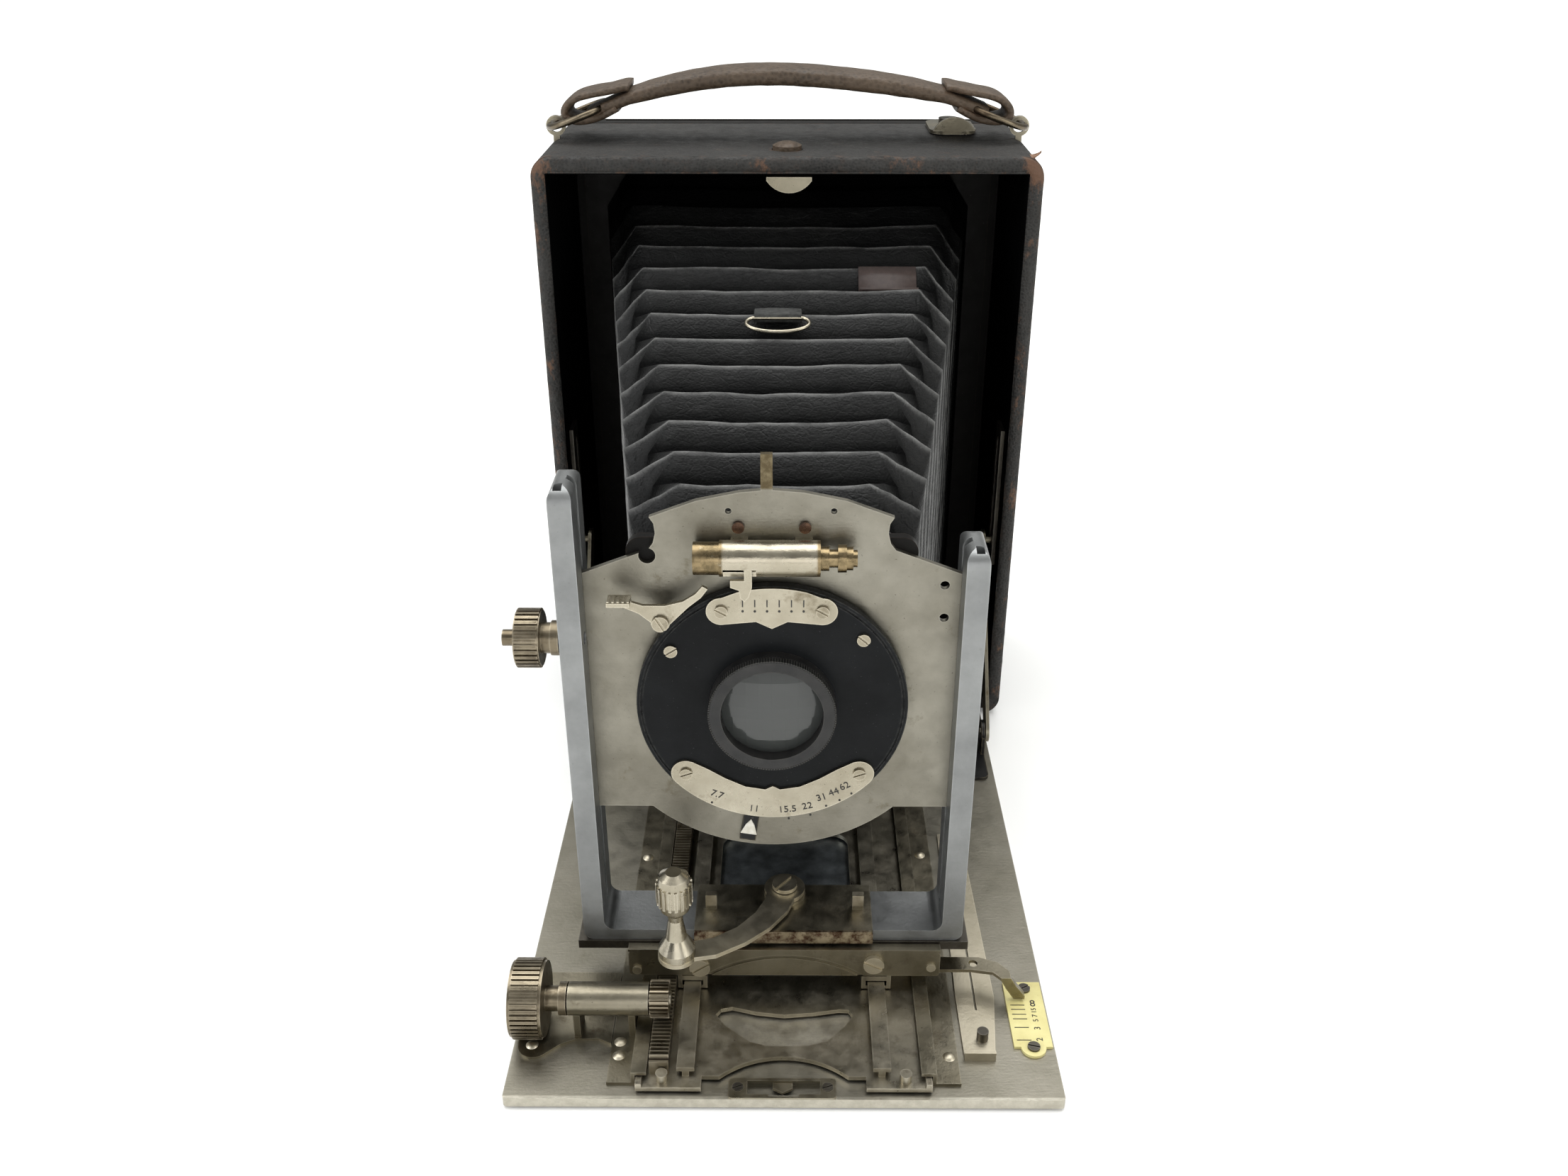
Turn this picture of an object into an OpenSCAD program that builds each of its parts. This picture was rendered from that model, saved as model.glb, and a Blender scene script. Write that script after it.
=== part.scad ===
// Folding plate camera, 9 x 12 cm: drop bed, bellows and a sliding lens standard.
// X runs across the camera, Y from the lens to the back, Z up. It stands on its base.

/* [Body] */
// Outer width of the body
body_w = 124; // [118:1:132]
// Outer height of the body
body_h = 158; // [154:1:166]
// Depth of the body shell
body_d = 50; // [46:1:56]
// Corner radius of the body
body_r = 5; // [3:0.5:8]
// Thickness of the leather skin
skin_t = 0.6; // [0.4:0.1:0.8]
// Half width of the front opening
open_hx = 58.3; // [57:0.1:59]
// Height of the top edge of the front opening
open_z = 154; // [150:1:155]
// Depth of the plate-holder frame at the back
back_d = 7; // [6:0.5:9]
// Radius of the tripod bush bore
bush_r = 4; // [3:0.1:4.6]

/* [Bed] */
// Width of the drop bed
bed_w = 112; // [104:1:114]
// Distance from the body front to the bed front edge
bed_y = 144.4; // [130:0.2:150]
// Thickness of the bed plate
bed_t = 2.3; // [1.5:0.1:3]
// Height of the focusing shaft above the base
shaft_z = 12; // [11:0.1:13]
// Radius of the focusing knob
knob_r = 8.2; // [6:0.1:9]

/* [Track] */
// Half width of the sliding track plate
track_hx = 29.6; // [28:0.1:30]
// Length of rack moved by one tooth of the pinion
rack_pitch = 0.9996; // [0.9:0.0001:1.1]

/* [Standard] */
// Sideways rest position of the lens frame
shift_x = -2.4; // [-3:0.1:3]
// Outer half width of the lens frame
frame_hx = 40.2; // [39:0.1:42]
// Height of the left post of the lens frame
left_top = 121; // [117:0.2:126]
// Height of the right post of the lens frame
right_top = 108.6; // [105:0.2:114]
// Height of the lens axis
lens_z = 73.6; // [65:0.1:85]
// Radius of the shutter disc
disc_r = 26.6; // [24:0.1:30]
// Radius of the front lens barrel
lens_r = 12.5; // [10:0.1:14]

/* [Hidden] */
y_shift = (bed_y - body_d - back_d) / 2;
pin_y = 1.6;
pin_z = 1.6;
strut_y = -22;
strut_z = 9;
slot_y = 10;
slot_z = 52;
strut_len = sqrt(pow(slot_y - strut_y, 2) + pow(slot_z - strut_z, 2));
strut_ang = atan2(slot_z - strut_z, slot_y - strut_y);
shaft_y = -126.4;
sh_hx = body_w / 2 - skin_t;
sh_h = body_h - 2 * skin_t;
c_black = [0.10, 0.09, 0.09];
c_leather = [0.13, 0.10, 0.09];
c_alu = [0.62, 0.60, 0.55];
c_steel = [0.45, 0.44, 0.42];
c_nickel = [0.72, 0.68, 0.58];
c_brass = [0.58, 0.50, 0.34];
c_cast = [0.50, 0.52, 0.54];
c_board = [0.66, 0.64, 0.60];
c_disc = [0.08, 0.09, 0.12];
c_ivory = [0.90, 0.86, 0.62];
c_glass = [0.30, 0.34, 0.38];

$fn = 40;

module place() translate([0, y_shift, 0]) children();
module ext_y(y0, y1) translate([0, y1, 0]) rotate([90, 0, 0]) linear_extrude(y1 - y0) children();
module ext_x(x0, x1) translate([x0, 0, 0]) rotate([90, 0, 90]) linear_extrude(x1 - x0) children();
module ext_z(z0, z1) translate([0, 0, z0]) linear_extrude(z1 - z0) children();
module cyl_y(y0, y1, r, x, z) ext_y(y0, y1) translate([x, z]) circle(r);
module cyl_x(x0, x1, r, y, z) ext_x(x0, x1) translate([y, z]) circle(r);
module cyl_z(z0, z1, r, x, y) ext_z(z0, z1) translate([x, y]) circle(r);
module box(x0, x1, y0, y1, z0, z1) translate([x0, y0, z0]) cube([x1 - x0, y1 - y0, z1 - z0]);
module both() { children(); mirror([1, 0, 0]) children(); }
module rrect(x0, x1, y0, y1, r) {
  translate([x0 + r, y0]) square([x1 - x0 - 2 * r, y1 - y0]);
  translate([x0, y0 + r]) square([x1 - x0, y1 - y0 - 2 * r]);
  for (x = [x0 + r, x1 - r]) for (y = [y0 + r, y1 - r]) translate([x, y]) circle(r);
}
// a flat-headed slotted screw standing on z0, slot turned by a
module screw_z(x, y, z0, r, h, a) difference() {
  cyl_z(z0, z0 + h, r, x, y);
  translate([x, y, z0 + h]) rotate(a) cube([2 * r + 1, r * 0.3, h], center = true);
}
// a slotted screw whose head faces the front, back of the head at y1
module screw_y(x, z, y1, r, h, a) difference() {
  cyl_y(y1 - h, y1, r, x, z);
  translate([x, y1 - h, z]) rotate([0, a, 0]) cube([2 * r + 1, h, r * 0.3], center = true);
}

// ---- body ----
module body_shell() color(c_black) place() difference() {
  union() {
    difference() {
      ext_y(0, body_d) rrect(-sh_hx, sh_hx, skin_t, skin_t + sh_h, body_r - skin_t);
      box(-open_hx, open_hx, -1, body_d + 1, 4, open_z);
      box(-open_hx, open_hx, -1, 3.4, -1, 5);
      cyl_z(-1, 5, 6.5, 0, 25);
    }
    for (x = [-50, -6, 38]) {
      cyl_x(x, x + 12, 1.5, pin_y, pin_z);
      box(x, x + 12, pin_y, 3.5, 0.6, 2.2);
    }
  }
  cyl_x(-60, 60, 0.8, pin_y, pin_z);
  cyl_z(150, 160, 3.8, 0, 10.9);
  cyl_z(150, 160, 1.2, 43, 51 - 6);
  both() box(58.4, 60, 26.5, 27.5, 155, 162);
}
module leather_cover() color(c_leather) place() difference() {
  ext_y(0.8, body_d - 0.6) difference() {
    rrect(-body_w / 2, body_w / 2, 0, body_h, body_r);
    rrect(-sh_hx, sh_hx, skin_t, skin_t + sh_h, body_r - skin_t);
  }
  // hairline seams: four flat panels and four corner strips, so that each one is a simple solid
  both() box(body_w / 2 - body_r - 0.01, body_w / 2 - body_r + 0.01, -1, body_d + 1, -1, body_h + 1);
  for (z = [body_r, body_h - body_r]) box(-body_w, body_w, -1, body_d + 1, z - 0.01, z + 0.01);
  box(-open_hx, open_hx, -1, 3.4, -1, 5);
  cyl_z(-1, 5, 6.5, 0, 25);
  cyl_z(150, 160, 3.8, 0, 10.9);
  cyl_z(150, 160, 1.2, 43, 45);
  both() box(58.4, 60, 26.5, 27.5, 155, 162);
}
module t_rail(y0, y1, z0) {
  box(19, 20.4, y0, y1, z0, 5.9);
  box(17.9, 21.5, y0, y1, 5.9, 6.9);
}
module body_rails() color(c_steel) place() both() t_rail(4, 34, 4);
module slot_plates() color(c_steel) place() both() difference() {
  box(57.3, open_hx, 6, 14, 46, 86);
  ext_x(57, 59) rrect(slot_y - 1.5, slot_y + 1.5, 49.5, 83, 1.49);
}
module hinge_pin() color(c_steel) place() cyl_x(-51, 51, 0.8, pin_y, pin_z);
module back_frame() color(c_black) place() difference() {
  ext_y(body_d, body_d + back_d) rrect(-body_w / 2, body_w / 2, 0, body_h, body_r);
  box(-47.6, 47.6, 49, 53, 16.4, 141.6);
  box(-46, 46, 49, 60, 18, 140);
  box(-50, 50, 54.2, 56, 14, 170);
}
module ground_glass() color(c_glass) place() box(-47.5, 47.5, 51, 53, 16.5, 141.5);
module eyelets() color(c_nickel) place() both() difference() {
  union() {
    box(58.4, 60, 26.5, 27.5, 155, 159.2);
    cyl_y(26.5, 27.5, 2.5, 59.2, 161);
  }
  cyl_y(26, 28, 1.6, 59.2, 161);
}
module back_catch_screw() color(c_steel) place() difference() {
  union() {
    cyl_z(155, 159.3, 1.2, 43, 45);
    cyl_z(159.3, 160.3, 2.6, 43, 45);
  }
  translate([43, 45, 160.3]) cube([7, 0.7, 1], center = true);
}
module tripod_bush() color(c_brass) place() difference() {
  union() {
    cyl_z(0, 6, 6.5, 0, 25);
    cyl_z(4, 5, 9, 0, 25);
  }
  cyl_z(-1, 7, bush_r, 0, 25);
}
module bellows_rear_frame() color(c_black) place() difference() {
  ext_y(48.4, body_d) rrect(-56, 56, 6, 150, 3);
  box(-47, 47, 47, 52, 20, 138);
}
// soft folded skin: a closed tapering shell, open at both ends
module bellows() color(c_black) place() difference() {
  tube8(-104.6, 47.9, 27, 50, 108, 5, 50, 17, 139, 11);
  tube8(-105.6, 48.9, 22.8, 54, 104, 4, 46, 21, 135, 9);
}
module tube8(ya, yb, ha, za0, za1, ca, hb, zb0, zb1, cb)
  polyhedron(points = concat(ring8(ya, shift_x, ha, za0, za1, ca), ring8(yb, 0, hb, zb0, zb1, cb)),
    faces = concat([[for (i = [7 : -1 : 0]) i], [for (i = [0 : 7]) 8 + i]],
      [for (i = [0 : 7]) [i, (i + 1) % 8, 8 + (i + 1) % 8, 8 + i]]));
function ring8(y, x, h, z0, z1, c) = [[x - h, y, z0 + c], [x - h + c, y, z0], [x + h - c, y, z0],
  [x + h, y, z0 + c], [x + h, y, z1 - c], [x + h - c, y, z1], [x - h + c, y, z1], [x - h, y, z1 - c]];
module bellows_ring() color(c_nickel) place() translate([-2, -30, 125.4]) rotate([12, 0, 0])
  difference() {
    ext_z(-0.6, 0.6) rrect(-7.4, 7.4, -3.7, 3.7, 3.6);
    ext_z(-2, 2) rrect(-6, 6, -2.4, 2.4, 2.3);
  }

// ---- catches ----
module release_button() color(c_leather) place() {
  cyl_z(153.2, 159, 3.6, 0, 10.9);
  difference() {
    translate([0, 10.9, 159 - 5.9]) sphere(6.9);
    box(-9, 9, 0, 22, 140, 159);
  }
}
module catch_hook() color(c_steel) place() {
  box(-5, 6, 0.8, 15, 152.2, 153.2);
  ext_y(0.8, 1.8) intersection() {
    translate([0.5, 156]) circle(6.6);
    translate([-6, 149]) square([13, 3.2]);
  }
  box(-2.5, 3.5, 1.8, 2.8, 150.2, 151);
}
module catch_lever() color(c_black) place() difference() {
  union() {
    ext_z(158.3, 159.2) rrect(37, 49, 30, 49, 4);
    ext_y(30, 31) intersection() {
      translate([43, 156.6]) circle(6);
      translate([34, 159.2]) square([18, 9]);
    }
  }
  cyl_z(157, 160, 1.27, 43, 45);
}

// ---- handle ----
function strap_z(x) = 175.4 - 6.4 * pow(x / 47, 2) - (abs(x) > 40 ? (abs(x) - 40) * 0.12 : 0);
module handle_strap() color(c_leather) place() difference() {
  ext_y(20, 34) {
    polygon(concat([for (i = [-12 : 12]) [i * 4.15, strap_z(i * 4.15)]],
      [for (i = [12 : -1 : -12]) [i * 4.15, strap_z(i * 4.15) - 3.8]]));
    both2() translate([50.5, 165.7]) circle(3.1);
  }
  both() cyl_y(0, 60, 1.3, 50.5, 165.7);
}
module both2() { children(); mirror([1, 0]) children(); }
module handle_rings() color(c_nickel) place() both()
  translate([59.2, 27, 161]) rotate([0, 28.4, 0]) ext_z(-0.8, 0.8) difference() {
    polygon([[0.8, -3.2], [0.8, 3.2], [-5, 9], [-10.1, 9], [-10.7, 8.4], [-10.7, -8.4],
      [-10.1, -9], [-5, -9]]);
    polygon([[-0.8, -2.6], [-0.8, 2.6], [-5.6, 7.3], [-9.1, 7.3], [-9.1, -7.3], [-5.6, -7.3]]);
  }
// ---- bed ----
module bed_plate() color(c_alu) place() difference() {
  union() {
    ext_z(0.7, 0.7 + bed_t) rrect(-bed_w / 2, bed_w / 2, -bed_y, -0.3, 0.8);
    for (x = [-37.8, 6.2]) {
      cyl_x(x, x + 31.6, 1.4, pin_y, pin_z);
      box(x, x + 31.6, -0.6, pin_y, 1.0, 2.2);
    }
  }
  cyl_x(-60, 60, 0.87, pin_y, pin_z);
  box(-7.3, 7.3, -143.4, -139.4, 1.4, 4);
}
module bed_leather() color(c_leather) place() ext_z(0, 0.7)
  rrect(-bed_w / 2 + 0.6, bed_w / 2 - 0.6, -bed_y + 0.6, -2, 2);
module guide_rails() color(c_alu) place() both() {
  box(30.6, 35.6, -141, -2, 3, 3.8);
  box(29.8, 30.6, -141, -2, 3, 6.5);
  box(27.5, 29.8, -141, -2, 5.8, 6.5);
}
module rivet(x, y, z) difference() {
  translate([x, y, z - 1.1]) sphere(1.7, $fn = 24);
  box(x - 3, x + 3, y - 3, y + 3, z - 5, z);
}
module bed_rivets() color(c_steel) place() {
  rivet(-33.8, -134, 3.8);
  rivet(-33.7, -70.7, 3.8);
  rivet(33.8, -134, 3.8);
  rivet(33.1, -69.4, 3.8);
  rivet(-52.1, -131, 3.6);
  rivet(-33.9, -130.3, 3.8);
}
module latch_plate() color(c_steel) place() difference() {
  union() {
    ext_z(3, 3.4) difference() {
      rrect(-11.1, 10.5, -bed_y, -139.3, 0.8);
      translate([-7.3, -143.4]) square([14.6, 3.3]);
      for (x = [-9.2, 8.8]) translate([x, -141.6]) circle(1.12);
    }
    ext_z(2.3, 3.4) polygon([[-2.2, -139.7], [1.8, -139.7], [1.8, -141.4], [-0.2, -142.6],
      [-2.2, -141.4]]);
  }
  box(-3, 3, -144, -140.1, 2.8, 4);
}
module bed_screws() color(c_steel) place() {
  for (x = [-9.2, 8.8]) screw_z(x, -141.6, 3, 1.1, 0.5, 20);
  screw_z(52, -114.6, 3.6, 1.3, 0.5, 30);
  screw_z(51.6, -131.2, 3.6, 1.3, 0.5, -15);
  screw_z(41.3, -66, 3.7, 1.2, 0.5, 40);
  cyl_z(3.7, 6, 1.2, 41.2, -129);
}
module knob_bracket() color(c_nickel) place() difference() {
  union() {
    ext_z(3, 3.6) {
      polygon([[-55, -110], [-55, -131], [-51.6, -134.2], [-49, -133.2], [-46.4, -130.8],
        [-43.5, -129.4], [-38.6, -129.2], [-35.8, -130.6], [-35.8, -110]]);
      translate([-51.6, -131]) circle(3.4);
    }
    box(-43.6, -42.2, -128.8, -123.6, 3.6, shaft_z);
    box(-32.2, -30.8, -128.8, -123.6, 3.8, shaft_z);
  }
  cyl_x(-60, 0, 3.4, shaft_y, shaft_z);
}
module pinion_sleeve() color(c_brass) place() difference() {
  cyl_x(-44.5, -27.9, 3.4, shaft_y, shaft_z);
  cyl_x(-50, -20, 1.66, shaft_y, shaft_z);
}
module distance_scale() color(c_ivory) place() ext_z(3, 3.6) {
  translate([47.6, -131]) square([8, 18.5]);
  translate([51.6, -131]) circle(2.6);
}

module leaf_spring() color(c_nickel) place() difference() {
  union() {
    ext_z(3, 3.7) polygon([[37, -133.4], [43.4, -133.4], [45.2, -117],
      [44, -61], [38.2, -61], [36.9, -117]]);
    box(37, 43.4, -134.2, -133.4, 3, 5);
  }
  box(40.6, 41.1, -121, -75, 2, 6);
}

module strut_brackets() color(c_black) place() both() {
  ext_z(3, 3.8) rrect(47, 54.4, -37, -18, 2);
  difference() {
    ext_x(53.5, 54.4) {
      translate([-26, 3.8]) square([8, 5.2]);
      translate([strut_y, strut_z]) circle(3);
    }
    cyl_x(53, 55, 1.05, strut_y, strut_z);
  }
}

// ---- struts ----
module strut() place() translate([0, strut_y, strut_z]) rotate([strut_ang, 0, 0]) {
  ext_x(54.7, 55.6) {
    translate([0, -3]) square([strut_len, 6]);
    circle(3);
    translate([strut_len, 0]) circle(3);
  }
  cyl_x(53.3, 54.7, 1, 0, 0);
  cyl_x(55.6, 57.9, 1, strut_len, 0);
}
module strut_right() color(c_black) strut();
module strut_left() color(c_black) mirror([1, 0, 0]) strut();

// ---- pinion ----
module focus_knob() color(c_brass) place() difference() {
  union() {
    cyl_x(-56, -49.2, knob_r - 0.5, shaft_y, shaft_z);
    for (i = [0 : 43]) translate([0, shaft_y, shaft_z]) rotate([i * 360 / 44, 0, 0])
      box(-55.4, -49.8, knob_r - 0.9, knob_r, -0.33, 0.33);
    cyl_x(-49.2, -46.4, 2.6, shaft_y, shaft_z);
    cyl_x(-46.4, -44.8, 3.4, shaft_y, shaft_z);
  }
  cyl_x(-57, -40, 1.6, shaft_y, shaft_z);
}
module pinion_shaft() color(c_steel) place() cyl_x(-55.6, -23.4, 1.6, shaft_y, shaft_z);
module pinion_gear() color(c_brass) place() translate([0, shaft_y, shaft_z])
  ext_x(-27.6, -23.7) difference() {
    union() {
      circle(3.1);
      for (i = [0 : 21]) rotate((i + 0.5) * 360 / 22 - 90)
        polygon([[2.9, -0.26], [3.82, -0.13], [3.82, 0.13], [2.9, 0.26]]);
    }
    circle(1.6);
  }

// ---- track ----
module track_plate() color(c_steel) place() {
  ext_z(3.6, 4.6) difference() {
    translate([-track_hx, -143]) square([2 * track_hx, 141]);
    translate([-16.5, -144]) square([33, 4]);
    translate([0, -154]) circle(19.1);
    polygon([[-14.4, -123.4], [-13.4, -121.8], [-11, -121.2], [-6, -122.6], [0, -123.4],
      [6, -122.8], [11.5, -121.8], [13.6, -121.9], [14.5, -123.6], [12.8, -126.4], [9, -130.6],
      [5, -131.9], [0, -132.1], [-4, -131.9], [-7, -130.9], [-12.4, -126.4]]);
    rrect(-15.5, 15.5, -112, -62, 4);
    rrect(-15.5, 15.5, -56, -8, 4);
  }
  both() {
    box(28.4, track_hx, -143, -2, 4.6, 5.5);
    t_rail(-140, -2, 4.6);
  }
}
module rack() color(c_brass) place() ext_x(-27, -23.1) {
  translate([-139.6, 4.6]) square([134.6, 3.4]);
  for (i = [-12 : 17]) translate([shaft_y + i * rack_pitch, 8])
    polygon([[-0.28, -0.1], [0.28, -0.1], [0.13, 0.78], [-0.13, 0.78]]);
}
module end_stops() color(c_steel) place() both() cyl_z(4.6, 6.6, 1.2, 24.4, -141);

// ---- carriage ----
module carriage_base() color(c_steel) place() {
  box(-33, 33, -115.9, -99, 13.6, 14.7);
  both() {
    box(22.0, 22.9, -115.9, -99, 4.9, 13.6);
    box(20.9, 22.0, -115.9, -99, 4.9, 5.7);
    box(16.6, 22.0, -115.9, -99, 7.1, 8.3);
    box(16.6, 17.5, -115.9, -99, 4.9, 7.1);
    box(17.5, 18.5, -115.9, -99, 4.9, 5.7);
  }
}
module front_bar() color(c_nickel) place() {
  difference() {
    ext_y(-116.8, -115.9) {
      rrect(-33.1, 33.1, 9.4, 15.9, 0.8);
    }
    translate([0, -117.3, -13.6]) rotate([-90, 0, 0]) difference() {
      cylinder(r = 28.6, h = 0.8, $fn = 72);
      cylinder(r = 27.8, h = 0.8, $fn = 72);
    }
  }
  box(-33.1, 33.1, -116.8, -114.7, 15.9, 16.5);
}
module bar_screws() color(c_brass) place() {
  screw_y(19, 12.9, -116.8, 2.2, 0.9, 25);
  screw_y(-18, 12, -116.8, 2.2, 0.9, -35);
  cyl_y(-117.3, -116.8, 1.0, 31.2, 12);
  cyl_y(-117.3, -116.8, 1.0, -31.4, 11);
}
module base_strip() color(c_cast) place()
  difference() {
  box(shift_x - 41.5, shift_x + 41.5, -114.5, -101, 14.8, 16.9);
  box(-8, 12, -104.6, -101.4, 14, 18);
}
module saddle_plate() color(c_board) place() {
  difference() {
    union() {
      ext_z(19.6, 20.3) rrect(-19.1, 18.7, -115.5, -100.3, 0.8);
      box(-19.1, 18.7, -115.5, -114.9, 17.2, 19.7);
    }
    cyl_z(18, 21, 1.3, 0, -103);
  }
  for (x = [-17, 14.6]) box(x, x + 2.4, -108.3, -106.9, 20.3, 24);
  difference() {
    cyl_z(20.3, 20.9, 4.5, 0, -103);
    cyl_z(20, 22, 1.3, 0, -103);
  }
}
module pointer_arm() color(c_nickel) place() difference() {
  union() {
    ext_z(9.5, 10.3) polygon([[32, -115.8], [32, -112], [42, -112], [46, -113.6], [48.2, -116.2],
      [48.2, -118.4], [46.2, -118.4], [44.6, -116.6], [40, -115.8]]);
    ext_y(-118.4, -116.9) polygon([[46.2, 9.5], [46.2, 10.3], [48.2, 10.3], [49.5, 8],
      [51.5, 5.2], [51.5, 4.4], [49.2, 4.4], [47.4, 7.2]]);
  }
  cyl_z(9, 11, 1.0, 40.6, -113.9);
}
module clamp_screw() color(c_nickel) place() {
  cyl_z(14.7, 22.2, 1.27, 0, -103);
  screw_z(0, -103, 22.2, 2.7, 0.9, 50);
}
module clamp_arm() color(c_nickel) place() difference() {
  union() {
    ext_z(21, 22) polygon([[3, -100.8], [2.8, -105], [0.6, -110.8], [-3, -115.9], [-8, -120.5],
      [-14, -124.2], [-24.2, -126.2], [-24.2, -121], [-20.6, -120.7], [-14.8, -119.2],
      [-9.8, -115.8], [-6.2, -111.4], [-4.2, -107], [-3.2, -100.6]]);
    cyl_z(21, 22, 4.4, 0, -103);
    cyl_z(21, 22, 3.9, -22, -123.6);
  }
  cyl_z(20, 23, 1.32, 0, -103);
  cyl_z(20, 23, 1.6, -22, -123.6);
}

module clamp_knob() color(c_brass) place() difference() {
  union() {
    translate([-22, -123.6, 22]) rotate_extrude() polygon([[0, 0], [3.8, 0], [3.8, 1.6],
      [2.2, 4.4], [1.5, 9], [1.7, 10.4], [3.0, 12], [3.4, 14], [3.4, 18], [3.0, 20], [1.6, 21],
      [0, 21]]);
    for (i = [0 : 17]) translate([-22, -123.6, 0]) rotate(i * 20) box(3.2, 3.7, -0.3, 0.3, 35.6, 40.4);
    cyl_z(20.4, 22, 1.6, -22, -123.6);
  }
}

// ---- lens frame ----
module u_frame() color(c_cast) place() translate([shift_x, 0, 0]) difference() {
  intersection() {
    ext_y(-114, -101.5) difference() {
      union() {
        rrect(-frame_hx, frame_hx, 16.9, 30, 2);
        translate([-frame_hx, 24]) square([4.4, left_top - 26.2]);
        translate([frame_hx - 4.4, 24]) square([4.4, right_top - 26.2]);
        translate([-frame_hx + 2.2, left_top - 2.2]) circle(2.2);
        translate([frame_hx - 2.2, right_top - 2.2]) circle(2.2);
      }
      rrect(-frame_hx + 4.4, frame_hx - 4.4, 19.5, 140, 2.3);
    }
    union() {
      ext_x(-45, 1) rrect(-114, -101.5, 10, left_top, 3.4);
      ext_x(-1, 45) rrect(-114, -101.5, 10, right_top, 3.4);
    }
  }
  box(-37.4, -35.7, -108.3, -106.5, 22, 130);
  box(35.7, 37.4, -108.3, -106.5, 22, 130);
  box(-39.2, -37.6, -112.6, -110.4, left_top - 1.6, left_top + 1);
  box(37.6, 39.2, -112.6, -110.4, right_top - 1.6, right_top + 1);
  cyl_x(-42, -35, 1.3, -110.5, 88.9);
  box(-8 - shift_x, 12 - shift_x, -104.6, -101, 16, 19.7);
}
module rise_knob() color(c_brass) place() translate([shift_x, -110.5, 88.9]) {
  difference() {
    union() {
      ext_x(-frame_hx - 1.8, -frame_hx - 0.2) circle(3.4);
      ext_x(-frame_hx - 3.6, -frame_hx - 1.8) circle(3);
      ext_x(-frame_hx - 8.4, -frame_hx - 3.6) circle(5.35);
      for (i = [0 : 29]) rotate([i * 12, 0, 0])
        box(-frame_hx - 8.2, -frame_hx - 3.8, 5.1, 5.75, -0.33, 0.33);
      ext_x(-frame_hx - 11.2, -frame_hx - 8.4) circle(1.6);
    }
  }
  ext_x(-frame_hx - 0.2, -frame_hx + 2.4) circle(1.22);
}

// ---- lens board ----
module lens_plate() color(c_board) place() translate([shift_x, 0, 0])
  ext_y(-108, -106.8) difference() {
    polygon(concat([[37.2, 101.3], [37.2, 47.5]],
      [for (a = [-46.5 : -3 : -133.5]) [36 * cos(a), lens_z + 36 * sin(a)]],
      [[-37.2, 47.5], [-37.2, 101.3], [-35.8, 101.5], [-23.2, 106.4], [-22.2, 107.8],
        [-21.7, 109.8], [-21.9, 111.8], [-22.7, 113.1], [-14, 116.4], [-6, 118.1], [-2, 118.5],
        [-2, 125.6], [0.2, 125.6], [0.2, 118.6], [6, 118.1], [14, 116.4], [22.7, 113.1],
        [21.9, 111.8], [21.7, 109.8], [22.2, 107.8], [23.2, 106.4], [35.8, 101.5]]));
    translate([0, lens_z]) circle(11.3);
    translate([32.7, 99.1]) circle(0.9, $fn = 20);
    translate([32.9, 92.1]) circle(0.9, $fn = 20);
    translate([-8, 114.4]) circle(0.6, $fn = 20);
    translate([11.5, 114.4]) circle(0.6, $fn = 20);
    translate([-23.4, 105.2]) circle(1.6, $fn = 20);
  }
module air_cylinder() color(c_black) place() translate([shift_x, -112, 106.7]) {
  difference() {
    union() {
      ext_x(-9.6, 9) circle(3.4);
      ext_x(-14.4, -9.6) circle(3.1);
      ext_x(9, 10.6) circle(2.3);
      ext_x(10.6, 12.2) circle(1.7);
      ext_x(12.2, 13.8) circle(2.6);
      ext_x(13.8, 15) circle(2.2);
      ext_x(15, 15.8) circle(1.6);
      for (x = [-6, 6]) box(x - 1.6, x + 1.6, 1.6, 4, -2.4, 2.4);
    }
    ext_x(6, 17) circle(0.8);
    ext_x(-9.4, 8) circle(2.58);
    box(-8.9, -2.8, -3.8, -1, -5, -0.8);
  }
}
module shutter_disc() color(c_disc) place() difference() {
  union() {
    cyl_y(-110.7, -109, disc_r, shift_x, lens_z, $fn = 96);
    cyl_y(-109, -108, 22, shift_x, lens_z);
  }
  cyl_y(-112, -107, 10.2, shift_x, lens_z);
  difference() {
    cyl_y(-111, -110.45, disc_r - 0.7, shift_x, lens_z, $fn = 96);
    cyl_y(-112, -110, disc_r - 1.1, shift_x, lens_z, $fn = 96);
  }
}
module disc_screws() color(c_steel) place() {
  for (a = [41, 147]) screw_y(shift_x + 23.2 * cos(a), lens_z + 23.2 * sin(a), -110.7, 1.3, 0.6, a);
  for (x = [-9.6, 9.6]) screw_y(shift_x + x, lens_z + 21.5, -111.3, 1.3, 0.5, 30);
  for (x = [-17.4, 17.4]) screw_y(shift_x + x, lens_z - 15.6, -111.3, 1.3, 0.5, -20);
  cyl_y(-112.5, -108, 1, shift_x - 21, 93.2);
  screw_y(shift_x - 21, 93.2, -112.5, 1.6, 0.6, 60);
  for (x = [-6.2, 6.2]) cyl_y(-108.8, -108, 1.15, shift_x + x, 111.3);
}
module speed_plate() color(c_nickel) place() translate([shift_x, 0, lens_z]) ext_y(-111.3, -110.7)
  intersection() {
    circle(26.4);
    union() {
      polygon([[-9.6, 24.35], [-9.6, 18.65], [-3, 19.3], [0, 17.8], [3, 19.3], [9.6, 18.65],
        [9.6, 24.35], [5.5, 26], [2, 27], [-2, 27], [-5.5, 26]]);
      for (x = [-9.6, 9.6]) translate([x, 21.5]) circle(2.85);
    }
  }
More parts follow.
